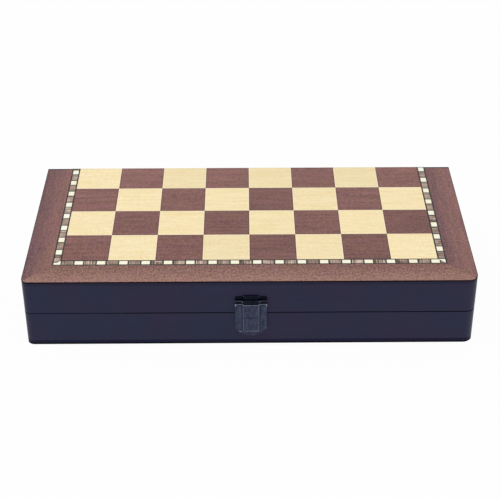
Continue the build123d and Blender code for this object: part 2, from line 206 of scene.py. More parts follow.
@dataclass(frozen=True)
class Veneer(Finish):
    """Knife-cut veneer under a thin satin coat.

    The fibres give the eye long soft streaks, the cut pores short dark dashes, and the ribbon figure a
    mottle of red, olive and violet. The real figure of about 1 mm is drawn at about 2 mm, to be seen.

    Attributes:
        light: Colour of the palest wood.
        dark: Colour of the deepest wood.
        pore: Colour inside the pores.
        grain: Way of the fibres.
        deep_mm, pale_mm: Places across the grain where the leaf is deepest and palest.
        deep_share, pale_share: How light the wood is there, from dark to light.
        streak, mottle, pores, blush: How strongly each of these shows; a blush is a drift of the hue.
        shine, roughness: Specular level and roughness of the coat.
        streak_mm, pore_mm: Length and width of a streak and of a pore, as drawn.
        mottle_mm, blush_mm: Sizes of a patch of the mottle and of one hue.
    """

    light: str
    dark: str
    pore: str
    grain: Grain
    deep_mm: float = -1000.0
    pale_mm: float = 1000.0
    deep_share: float = 0.5
    pale_share: float = 0.5
    streak: float = 0.35
    mottle: float = 1.9
    pores: float = 0.35
    blush: float = 0.7
    shine: float = 0.3
    roughness: float = 0.5
    streak_mm: tuple[float, float] = (36.0, 3.0)
    mottle_mm: tuple[float, float, float] = (1.6, 2.4, 2.4)
    pore_mm: tuple[float, float] = (6.0, 1.6)
    blush_mm: tuple[float, float, float] = (8.0, 10.0, 10.0)

    def along(self, length_mm: float, width_mm: float) -> tuple[float, ...]:
        """Scale of patches that are drawn out along the grain.

        Args:
            length_mm: A patch's length along the fibres.
            width_mm: Its width across them.

        Returns:
            The scale along X, Y and Z.
        """
        if self.grain is Grain.ACROSS:
            return per_metre(length_mm, width_mm, width_mm)
        return per_metre(width_mm, length_mm, width_mm)

    def mix(self) -> Material:
        """Makes the material."""
        material, tree, place = self.start()
        return self.coat(material, {"Specular IOR Level": self.shine}, self.figure(tree, place, place))

    def figure(self, tree: NodeTree, place: NodeSocket, own_place: NodeSocket) -> dict[str, Node]:
        """Draws the wood's figure.

        Args:
            tree: The material's node tree.
            place: The piece's own coordinates.
            own_place: Coordinates that the figure follows.

        Returns:
            The nodes that drive the surface.
        """
        patterns = []
        for scale, detail in (
            (self.along(*self.streak_mm), 3.0),
            (per_metre(*self.mottle_mm), 1.0),
            (self.along(*self.pore_mm), 1.0),
            (per_metre(*self.blush_mm), 2.0),
        ):
            spot = add_node(tree, "Mapping", {"Scale": scale}, {"Vector": own_place})
            fine = {"Scale": 1.0, "Detail": detail}
            patterns.append(add_node(tree, "TexNoise", fine, {"Vector": spot}))
        streaks, mottle, pores, blush = patterns

        ways = add_node(tree, "SeparateXYZ", links={0: place})
        across = ways.outputs["Y" if self.grain is Grain.ACROSS else "X"]
        settled = 0.5 * (self.streak + self.mottle)  # a noise is 0.5 on average
        ends = {"From Min": self.deep_mm * MM, "From Max": self.pale_mm * MM}
        ends |= {"To Min": self.deep_share - settled, "To Max": self.pale_share - settled}
        body = add_node(tree, "MapRange", ends, {"Value": across})
        for share, pattern in ((self.streak, streaks), (self.mottle, mottle)):
            body = add_node(tree, "Math", {1: share}, {0: pattern, 2: body}, operation="MULTIPLY_ADD")
        tones = {"A": linear(self.dark), "B": linear(self.light)}
        colour = add_node(tree, "Mix", tones, {"Factor": body}, **BLEND)
        hue = add_node(tree, "MapRange", CORE, {"Value": blush})
        tint = add_node(tree, "Mix", {"A": OLIVE, "B": VIOLET}, {"Factor": hue}, **BLEND)
        colour = add_node(tree, "Mix", {"Factor": self.blush}, {"A": colour, "B": tint}, **TINTED)
        ends = {"From Min": 0.55, "From Max": 0.72, "To Max": self.pores}
        open_pores = add_node(tree, "MapRange", ends, {"Value": pores})
        inside = {"B": linear(self.pore)}
        colour = add_node(tree, "Mix", inside, {"Factor": open_pores, "A": colour}, **BLEND)
        ends = SPAN | {"To Min": self.roughness - 0.05, "To Max": self.roughness + 0.05}
        rough = add_node(tree, "MapRange", ends, {"Value": streaks})
        height = add_node(tree, "Math", links={0: streaks, 1: open_pores}, operation="SUBTRACT")
        bump = add_node(tree, "Bump", {"Distance": 0.012 * MM}, {"Height": height})
        return {"Base Color": colour, "Roughness": rough, "Normal": bump}


@dataclass(frozen=True)
class SquareLeaves(Veneer):
    """Veneer cut into squares: each has its own stretch of figure and its own tone.

    The cut edges soak up more of the coat, which gives each square a thin rim, and the row at the fold
    was rubbed over with the case's lacquer along its edge.

    Attributes:
        rim, rim_share, rim_mm: The rim's colour, strength and width.
        spread: How much the squares differ in tone.
        fold, fold_share, fold_mm: Colour, strength and width of the rubbed line along the fold.
        draw_from: Where the draw of the tones starts.
        apart: How far apart in the log two squares may come from, in metres.
    """

    rim: str = "52342c"
    rim_share: float = 0.6
    rim_mm: float = 1.0
    spread: float = 0.05
    fold: str = "3a2a30"
    fold_mm: float = 0.9
    fold_share: float = 0.5
    draw_from: float = 0.0
    apart: float = 3.0

    def mix(self) -> Material:
        """Makes the material."""
        field = PlayingField()
        side = field.square
        material, tree, place = self.start()
        first = (0, -field.front_line / side, self.draw_from + 0.5)
        moved = {"Location": first, "Scale": (1 / side,) * 3}
        cell = add_node(tree, "Mapping", moved, {"Vector": place})
        whole = add_node(tree, "VectorMath", links={0: cell}, operation="FLOOR")
        draw = add_node(tree, "TexWhiteNoise", links={"Vector": whole})
        drawn = {0: draw.outputs["Color"]}
        jump = add_node(tree, "VectorMath", {"Scale": self.apart}, drawn, operation="SCALE")
        own_place = add_node(tree, "VectorMath", links={0: place, 1: jump}, operation="ADD")
        sources = self.figure(tree, place, own_place.outputs[0])

        ends = {"To Min": 1 - self.spread, "To Max": 1 + self.spread}
        tone = add_node(tree, "MapRange", ends, {"Value": draw.outputs["Value"]})
        both = {"A": sources["Base Color"], "B": tone}
        colour = add_node(tree, "Mix", {"Factor": 1.0}, both, **TINTED)
        part = add_node(tree, "VectorMath", links={0: cell}, operation="FRACTION")
        part = add_node(tree, "VectorMath", {1: (0.5, 0.5, 0.5)}, {0: part}, operation="SUBTRACT")
        part = add_node(tree, "VectorMath", links={0: part}, operation="ABSOLUTE")
        part = add_node(tree, "SeparateXYZ", links={0: part})
        sides = {0: part.outputs["X"], 1: part.outputs["Y"]}
        reach = add_node(tree, "Math", links=sides, operation="MAXIMUM")
        depth = add_node(tree, "SeparateXYZ", links={0: place}).outputs["Y"]
        for source, end, width, share, tone in (
            (reach, 0.5, self.rim_mm * MM / side, self.rim_share, self.rim),
            (depth, field.fold_line, self.fold_mm * MM, self.fold_share, self.fold),
        ):
            ends = {"From Min": end - width, "From Max": end - FULL_AT * width, "To Max": share}
            line = add_node(tree, "MapRange", ends, {"Value": source})
            colour = add_node(tree, "Mix", {"B": linear(tone)}, {"Factor": line, "A": colour}, **BLEND)
        return self.coat(material, {"Specular IOR Level": self.shine}, sources | {"Base Color": colour})


@dataclass(frozen=True)
class InlaySlips(Finish):
    """Natural or dyed wood slips of a marquetry band under the board's coat.

    Slips were cut from several sticks, so the eye finds their colour drifting from block to block, with
    fine stripes across the band. The real stripes of 0.3 mm are drawn at 1.2 mm, so that they show.

    Attributes:
        light, dark, other: Colours of the palest slips, the deepest, and those from another stick.
        drift_mm: Distance over which the colour drifts along the band.
        stripe_mm: Width of a stripe, as drawn.
        shine: Specular level of the coat.
    """

    light: str
    dark: str
    other: str
    drift_mm: float = 9.0
    stripe_mm: float = 1.2
    shine: float = 0.3

    def mix(self) -> Material:
        """Makes the material."""
        material, tree, place = self.start()
        ways = add_node(tree, "SeparateXYZ", links={0: place}).outputs
        off_middle = add_node(tree, "Math", links={0: ways["X"]}, operation="ABSOLUTE")
        line = {1: PlayingField().side_line}
        on_side = add_node(tree, "Math", line, {0: off_middle}, operation="GREATER_THAN")
        run = add_node(tree, "Mix", links={"Factor": on_side, "A": ways["X"], "B": ways["Y"]})
        drifts, stripes = per_metre(self.drift_mm, self.stripe_mm)
        drift = add_node(tree, "TexNoise", {"Scale": drifts, "Detail": 1.0}, {"Vector": place})
        stick = add_node(tree, "TexNoise", {"Scale": 0.7 * drifts, "Detail": 0.0}, {"Vector": place})
        fine = {"Scale": stripes, "Detail": 1.0}
        figure = add_node(tree, "TexNoise", fine, {"W": run}, noise_dimensions="1D")
        body = add_node(tree, "Math", links={0: figure, 1: drift}, operation="ADD")
        body = add_node(tree, "MapRange", {"From Min": 0.84, "From Max": 1.16}, {"Value": body})
        tones = {"A": linear(self.dark), "B": linear(self.light)}
        colour = add_node(tree, "Mix", tones, {"Factor": body}, **BLEND)
        ends = {"From Min": 0.45, "From Max": 0.58, "To Max": 0.6}
        swap = add_node(tree, "MapRange", ends, {"Value": stick.outputs["Color"]})
        other = {"B": linear(self.other)}
        colour = add_node(tree, "Mix", other, {"Factor": swap, "A": colour}, **BLEND)
        ends = SPAN | {"To Min": 0.44, "To Max": 0.54}
        rough = add_node(tree, "MapRange", ends, {"Value": figure})
        bump = add_node(tree, "Bump", {"Distance": 0.006 * MM}, {"Height": figure})
        sources = {"Base Color": colour, "Roughness": rough, "Normal": bump}
        return self.coat(material, {"Specular IOR Level": self.shine}, sources)


@dataclass(frozen=True)
class SatinLacquer(Finish):
    """Black lacquer, sprayed over a stained ground and rubbed to a satin.

    The spray leaves a slight orange peel, the stain below lets a little violet and blue through in wide
    clouds, and the wood's grain shows as faint lines. Rubbed edges are paler, partly as a painted
    highlight, and the outer seams carry painted shade.

    Attributes:
        warm, cool: Colours where the violet stain shows, and where the blue does.
        rubbed, shaded: Colours of rubbed edges, partly a painted highlight, and of painted shade in the
            seams.
        shine, roughness: Specular level and roughness of the rubbed coat.
        cloud_mm, grain_mm, peel_mm: Sizes of a cloud, a line of the grain and a dimple of the peel.
    """

    warm: str = "292340"
    cool: str = "202541"
    rubbed: str = "3c3b52"
    shaded: str = "120c24"
    shine: float = 0.2
    roughness: float = 0.42
    cloud_mm: tuple[float, float, float] = (48.0, 48.0, 30.0)
    grain_mm: tuple[float, float, float] = (60.0, 1.5, 1.5)
    peel_mm: float = 1.8

    def mix(self) -> Material:
        """Makes the material."""
        material, tree, place = self.start()
        patterns = []
        for sizes, detail in ((self.cloud_mm, 2.0), (self.grain_mm, 2.0), ((self.peel_mm,) * 3, 1.0)):
            spot = add_node(tree, "Mapping", {"Scale": per_metre(*sizes)}, {"Vector": place})
            fine = {"Scale": 1.0, "Detail": detail}
            patterns.append(add_node(tree, "TexNoise", fine, {"Vector": spot}))
        clouds, grain, peel = patterns
        stain = add_node(tree, "MapRange", CORE, {"Value": clouds})
        tones = {"A": linear(self.cool), "B": linear(self.warm)}
        colour = add_node(tree, "Mix", tones, {"Factor": stain}, **BLEND)
        shade = add_node(tree, "MapRange", SPAN | {"To Min": 0.94, "To Max": 1.06}, {"Value": grain})
        colour = add_node(tree, "Mix", {"Factor": 1.0}, {"A": colour, "B": shade}, **TINTED)
        # Paler rubbed edges, partly a painted highlight, and painted shade in the seams.
        wear = add_node(tree, "Attribute", attribute_name=WEAR_AND_LIGHT_MARK).outputs["Fac"]
        for most, tone in ((WearAndLight.RUB_AND_HIGHLIGHT, self.rubbed), (WearAndLight.SHADED, self.shaded)):
            share = add_node(tree, "MapRange", {"From Max": most.value}, {"Value": wear})
            colour = add_node(tree, "Mix", {"B": linear(tone)}, {"Factor": share, "A": colour}, **BLEND)
        ends = SPAN | {"To Min": self.roughness - 0.04, "To Max": self.roughness + 0.04}
        rough = add_node(tree, "MapRange", ends, {"Value": clouds})
        height = add_node(tree, "Math", {1: 0.5}, {0: grain, 2: peel}, operation="MULTIPLY_ADD")
        bump = add_node(tree, "Bump", {"Distance": 0.01 * MM}, {"Height": height})
        sources = {"Base Color": colour, "Roughness": rough, "Normal": bump}
        return self.coat(material, {"Specular IOR Level": self.shine}, sources)


@dataclass(frozen=True)
class WoolFelt(Finish):
    """Pressed wool felt: matted fibres that scatter light and give a soft rim at low angles.

    The real fibres of 0.03 mm are drawn 0.4 mm wide, so that they show.

    Attributes:
        light, dark: Colours of the raised fibres and between them.
        mat_mm, fibre_mm: Size of a matted tuft, and length and width of a fibre, as drawn.
    """

    light: str = "3d6f4d"
    dark: str = "1f4a30"
    mat_mm: float = 3.2
    fibre_mm: tuple[float, float] = (1.6, 0.4)

    def mix(self) -> Material:
        """Makes the material."""
        material, tree, place = self.start()
        (scale,) = per_metre(self.mat_mm)
        body = add_node(tree, "TexNoise", {"Scale": scale, "Detail": 3.0}, {"Vector": place})
        long, wide = self.fibre_mm
        for sizes in ((long, wide, wide), (wide, long, wide)):
            spot = add_node(tree, "Mapping", {"Scale": per_metre(*sizes)}, {"Vector": place})
            fibres = add_node(tree, "TexNoise", {"Scale": 1.0, "Detail": 2.0}, {"Vector": spot})
            body = add_node(tree, "Math", links={0: body, 1: fibres}, operation="ADD")
        share = add_node(tree, "MapRange", {"From Min": 1.15, "From Max": 1.85}, {"Value": body})
        tones = {"A": linear(self.dark), "B": linear(self.light)}
        colour = add_node(tree, "Mix", tones, {"Factor": share}, **BLEND)
        bump = add_node(tree, "Bump", {"Distance": 0.12 * MM}, {"Height": body})
        soft = {"Sheen Weight": 0.35, "Sheen Roughness": 0.5}
        matt = {"Roughness": 0.95, "Specular IOR Level": 0.1}
        return self.coat(material, soft | matt, {"Base Color": colour, "Normal": bump})


@dataclass(frozen=True)
class ToolMarkedMetal(Finish):
    """Metal with the fine lines of its last tool, a dull mottle, and a paler tone for rubbed places and
    painted highlights.

    Attributes:
        light, dark: Colours on the crest of the lines and between them.
        rubbed, shaded: Colours of metal that is rubbed bright, also used for painted highlights, and of
            painted shade in its corners.
        lines_mm, mottle_mm: Sizes of a line along X, Y and Z, and of a patch of the mottle.
        roughness: Roughness of the surface.
    """

    light: str
    dark: str
    rubbed: str
    shaded: str
    lines_mm: tuple[float, float, float]
    roughness: float
    mottle_mm: float = 2.4

    def mix(self) -> Material:
        """Makes the material."""
        material, tree, place = self.start()
        spot = add_node(tree, "Mapping", {"Scale": per_metre(*self.lines_mm)}, {"Vector": place})
        lines = add_node(tree, "TexNoise", {"Scale": 1.0, "Detail": 3.0}, {"Vector": spot})
        (scale,) = per_metre(self.mottle_mm)
        spots = add_node(tree, "TexNoise", {"Scale": scale, "Detail": 3.0}, {"Vector": place})
        body = add_node(tree, "Math", links={0: lines, 1: spots}, operation="ADD")
        body = add_node(tree, "MapRange", {"From Min": 0.75, "From Max": 1.25}, {"Value": body})
        tones = {"A": linear(self.dark), "B": linear(self.light)}
        colour = add_node(tree, "Mix", tones, {"Factor": body}, **BLEND)
        # Rubbed bright, partly as a painted highlight, and painted shade in corners.
        wear = add_node(tree, "Attribute", attribute_name=WEAR_AND_LIGHT_MARK).outputs["Fac"]
        ends = {"From Min": 0.3, "From Max": 0.6, "To Min": 0.5}
        uneven = add_node(tree, "MapRange", ends, {"Value": spots})
        for most, tone in ((WearAndLight.BRIGHT, self.rubbed), (WearAndLight.SHADED, self.shaded)):
            share = add_node(tree, "MapRange", {"From Max": most.value}, {"Value": wear})
            share = add_node(tree, "Math", links={0: share, 1: uneven}, operation="MULTIPLY")
            colour = add_node(tree, "Mix", {"B": linear(tone)}, {"Factor": share, "A": colour}, **BLEND)
        ends = SPAN | {"To Min": self.roughness - 0.08, "To Max": self.roughness + 0.1}
        rough = add_node(tree, "MapRange", ends, {"Value": lines})
        bump = add_node(tree, "Bump", {"Distance": 0.01 * MM}, {"Height": lines})
        sources = {"Base Color": colour, "Roughness": rough, "Normal": bump}
        return self.coat(material, {"Metallic": 1.0}, sources)


LACQUER = SatinLacquer("satin_black_lacquer")
# A darker copy of the lacquer for the lid panel's edge: painted shade along the top of the sides.
PAINTED_SHADE_LID_LACQUER = SatinLacquer("satin_black_lacquer_with_painted_shade_on_lid_edge", warm="1f1835", cool="171a35")
# A darker, duller copy of the lacquer for the base panel's edge: painted shade where the case meets the
# floor.
PAINTED_SHADE_BASE_LACQUER = SatinLacquer("black_lacquer_with_painted_shade_on_foot", warm="1c1734", cool="151b37", shine=0.1)
# Dark matt lacquer for seams and lapped strips: dust and a dark glue line, with painted shade in the
# seams, along the outlines and at the floor.
DUST_AND_SHADE_LACQUER = SatinLacquer(
    "matt_black_lacquer_with_dust_and_painted_shade", warm="170d16", cool="0f0d17", shine=0.03, roughness=0.75
)
MAHOGANY_FRONT = Veneer(
    "mahogany_veneer_front", "a57d71", "6d4741", "553835", Grain.ACROSS,
    deep_mm=-72.0, pale_mm=-93.0, deep_share=0.3, pale_share=0.76, mottle=2.2,
)
MAHOGANY_LEFT = Veneer(
    "mahogany_veneer_left", "976a60", "563c48", "452c32", Grain.ALONG,
    deep_mm=-190.0, pale_mm=-168.0, deep_share=0.24, pale_share=0.76, streak=0.8, mottle=1.3,
)
MAHOGANY_RIGHT = Veneer(
    "mahogany_veneer_right", "9b6e63", "5a3f4a", "452c32", Grain.ALONG,
    deep_mm=165.0, pale_mm=182.0, deep_share=0.26, pale_share=0.66, streak=0.8, mottle=1.5,
)
MAHOGANY_LEAVES = SquareLeaves(
    "mahogany_leaves", "9c6e67", "5f3d39", "4a302c", Grain.ACROSS,
    deep_mm=-10.0, pale_mm=90.0, deep_share=0.42, pale_share=0.62, streak=1.1, mottle=1.0, pores=0.3,
    spread=0.11, draw_from=1169.0,
)
MAPLE_LEAVES = SquareLeaves(
    "maple_leaves", "fff1c8", "f2d9a1", "e4c88f", Grain.ACROSS,
    streak=1.2, mottle=1.0, pores=0.25, blush=0.2,
    rim="fff2dc", rim_share=0.5, spread=0.042, fold_share=0.12, draw_from=7371.0,
)
STRINGING = InlaySlips("black_dyed_stringing", "352f32", "1f1c22", "3b3434")
CREAM = InlaySlips("holly_slips", "fffff0", "fbf5d3", "fffbe2")
TAN = InlaySlips("birch_slips", "d2bdab", "554639", "8c7b6b")
BROWN = InlaySlips("padauk_slips", "e2c8bc", "6b4638", "a38776")
DARK = InlaySlips("smoked_slips", "584d42", "2b2520", "463c34")
FELT = WoolFelt("green_wool_felt")
BRASS = ToolMarkedMetal(
    "rolled_brass", "d8b46a", "b48d45", "f0d596", "6f5528", lines_mm=(30, 0.35, 0.35), roughness=0.33
)
SCREW_BRASS = ToolMarkedMetal(
    "turned_brass", "cfa95f", "a98240", "efd18e", "6f5528", lines_mm=(0.5, 0.5, 6), roughness=0.3
)
STEEL = ToolMarkedMetal(
    "drawn_steel", "b9bcc2", "8e9299", "d6d9de", "4c4f55", lines_mm=(20, 0.3, 0.3), roughness=0.28
)
# The flap's sheet; its rubbed colour also serves as painted highlights, and its shaded colour as painted
# shade.
BLACKENED = ToolMarkedMetal(
    "gun_blackened_steel", "474c60", "2e3345", "9396a8", "171a28", lines_mm=(1.6, 1.6, 6), roughness=0.42
)
# The plate, keeper and nails, and the flap's knuckles, where this near-black steel is painted shade; its
# rubbed colour is a painted highlight on their crest.
DEEP_BLACK_AND_SHADE = ToolMarkedMetal(
    "steel_oil_blackened_and_painted_shade", "1d1f2c", "11131e", "5a5c6e", "07070f", lines_mm=(1.6, 1.6, 6), roughness=0.42
)


@dataclass(frozen=True)
class PlayingField:
    """Where the squares of one half lie, as the frame has them."""

    square: float = 40.0 * MM
    border: float = 31.0 * MM  # from the case's front to the first row

    @property
    def front_line(self) -> float:
        """Place of the first row's front edge along Y."""
        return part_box("lid_front_rail")[0].y + self.border

    @property
    def side_line(self) -> float:
        """Distance of the outermost squares' outer edges from the middle along X."""
        return 4 * self.square

    @property
    def fold_line(self) -> float:
        """Place of the last row's back edge along Y."""
        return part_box("lid_panel")[1].y


def merged_copy(node: str) -> BMesh:
    """A CAD node's shape with its loose triangles joined into whole faces.

    Args:
        node: The node's name.

    Returns:
        The shape, for the caller to finish and free.
    """
    shape = bmesh.new()
    shape.from_mesh(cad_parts[node].data)
    bmesh.ops.remove_doubles(shape, verts=shape.verts, dist=MERGE)
    parts = {"verts": shape.verts, "edges": shape.edges}
    bmesh.ops.dissolve_limit(shape, angle_limit=radians(FLAT_DEG), **parts)
    return shape


def sand_corners(shape: BMesh, half: Half) -> None:
    """Moves the points of each front corner's arc onto the rounder one.

    Args:
        shape: The shape of a piece of the case.
        half: The half that it belongs to.
    """
    low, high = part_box(f"{half.value}_panel")
    for side, radius in SANDED_CORNERS:
        corner = Vector((side * high.x, low.y))
        inward = Vector((-side, 1))
        for vert in shape.verts:
            away = vert.co.xy - (corner + inward * CORNER)
            if side * away.x > -MERGE and away.y < MERGE and away.length > CORNER - EASED_IN:
                reach = away.length + radius - CORNER
                vert.co.xy = corner + inward * radius + away.normalized() * reach


def cut_across(shape: BMesh, axis: Axis, places: Iterable[float]) -> None:
    """Cuts a shape's faces along planes square to an axis and keeps all parts.

    Args:
        shape: The shape.
        axis: The axis.
        places: Where the planes cross it.
    """
    way = Vector(axis.value)
    for place in places:
        parts = shape.verts[:] + shape.edges[:] + shape.faces[:]
        bmesh.ops.bisect_plane(shape, geom=parts, plane_co=way * place, plane_no=way, dist=MERGE)


def round_edges(
    shape: BMesh, width_mm: float, wanted: Callable[[BMEdge], bool], sharper_deg: float = 25.0
) -> None:
    """Rounds the sharp edges of a shape.

    Args:
        shape: The shape.
        width_mm: Width of the rounding on each face.
        wanted: Says whether an edge is rounded.
        sharper_deg: Edges that turn less than this are left.
    """
    paired = (edge for edge in shape.edges if len(edge.link_faces) == 2)
    sharp = [edge for edge in paired if edge.calc_face_angle(0.0) > radians(sharper_deg) and wanted(edge)]
    bmesh.ops.bevel(
        shape,
        geom=sharp,
        offset=width_mm * MM,
        offset_type="OFFSET",
        segments=2,
        profile=0.5,
        affect="EDGES",
        clamp_overlap=True,
        material=-1,
    )


def mark_wear_and_light(shape: BMesh, judge: Callable[[BMFace], WearAndLight]) -> None:
    """Marks how each face of a shape has been used, and where light or shade is painted on it.

    Args:
        shape: The shape.
        judge: Says it of one face.
    """
    layer = shape.faces.layers.float.new(WEAR_AND_LIGHT_MARK)
    for face in shape.faces:
        face[layer] = judge(face).value


def breadth(face: BMFace) -> float:
    """How broad a face is, across its longest edge."""
    return face.calc_area() / max(edge.calc_length() for edge in face.edges)


def mark_edges(shape: BMesh, narrow_mm: float) -> None:
    """Marks faces narrower than narrow_mm, those of the rounded edges, as rubbed: paler, and a painted
    highlight.
    """
    mark_wear_and_light(shape, lambda face: WearAndLight.RUB_AND_HIGHLIGHT if breadth(face) < narrow_mm * MM else WearAndLight.PLAIN)


def add_piece(
    shape: BMesh,
    name: str,
    finishes: Iterable[Finish],
    body: str,
    stands_for: Iterable[str] = (),
) -> Object:
    """Turns a finished shape into a piece of the object.

    Args:
        shape: The shape, which is freed.
        name: The piece's name.
        finishes: Its finishes, by the material numbers of its faces.
        body: The body that it rides on.
        stands_for: CAD nodes that it replaces.

    Returns:
        The piece.
    """
    mesh = bpy.data.meshes.new(name)
    shape.to_mesh(mesh)
    shape.free()
    for finish in finishes:
        mesh.materials.append(finish.material())
    mesh.polygons.foreach_set("use_smooth", [True] * len(mesh.polygons))
    mesh.set_sharp_from_angle(angle=radians(SMOOTH_DEG))
    piece = bpy.data.objects.new(name, mesh)
    bpy.context.scene.collection.objects.link(piece)
    # A broad face looks flat up to its rounded edges.
    level = piece.modifiers.new("level_shading", "WEIGHTED_NORMAL")
    level.keep_sharp = True
    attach(piece, body)
    if stands_for:
        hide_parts(*stands_for)
    log.info("%s: %d faces, on %s", name, len(mesh.polygons), body)
    return piece


def dress_node(node: str, finish: Finish) -> None:
    """Gives a CAD node its finish and leaves its shape alone.

    Args:
        node: The node's name.
        finish: Its finish.
    """
    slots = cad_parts[node].data.materials
    slots.clear()
    slots.append(finish.material())
    log.info("%s: CAD shape, %s", node, finish.name)


@dataclass
class PlayingFace:
    """Veneers and marquetry on the outside of one half.

    Attributes:
        half: The half that it lies on.
        side_strip_mm: How far the side's lacquer laps over the veneer.
        fold_strip_mm: How far it laps over at the fold.
    """

    half: Half
    side_strip_mm: float = 0.6
    fold_strip_mm: float = 1.9

    def build(self) -> None:
        """Dresses the borders, the squares and the band."""
        borders = {"front": MAHOGANY_FRONT, "left": MAHOGANY_LEFT, "right": MAHOGANY_RIGHT}
        for place, finish in borders.items():
            self.build_border(place, finish)
        for part, finish in (
            ("light_squares", MAPLE_LEAVES),
            ("dark_squares", MAHOGANY_LEAVES),
            ("band_lines", STRINGING),
            ("band_creams", CREAM),
            ("band_tans", TAN),
            ("band_browns", BROWN),
            ("band_darks", DARK),
        ):
            dress_node(f"{self.half.value}_{part}", finish)

    def build_border(self, place: str, finish: Veneer) -> None:
        """Builds one border strip; the case's lacquer laps over its edges, but not at the lid's front.

        Args:
            place: The side of the case that it lies along.
            finish: Its veneer.
        """
        node = f"{self.half.value}_{place}_border"
        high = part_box(f"{self.half.value}_panel")[1]
        side_line = high.x - self.side_strip_mm * MM
        fold_line = high.y - self.fold_strip_mm * MM
        shape = merged_copy(node)
        sand_corners(shape, self.half)
        cut_across(shape, Axis.X, (side_line, -side_line))
        cut_across(shape, Axis.Y, (fold_line,))
        for face in shape.faces:
            spot = face.calc_center_median()
            lapped = abs(spot.x) > side_line or spot.y > fold_line
            fronted = place == "front" and face.normal.y < -0.3 and self.half is Half.LID
            flat = abs(face.normal.z) > LEVEL
            # Lapped strips and edges get the dark dusty lacquer, partly painted shade, also along the
            # base's front edge at the floor; the lid's front edge stays bare veneer.
            face.material_index = 0 if fronted or (flat and not lapped) else 1
        coats = (finish, DUST_AND_SHADE_LACQUER)
        add_piece(shape, f"{node}_veneer", coats, self.half.value, [node])


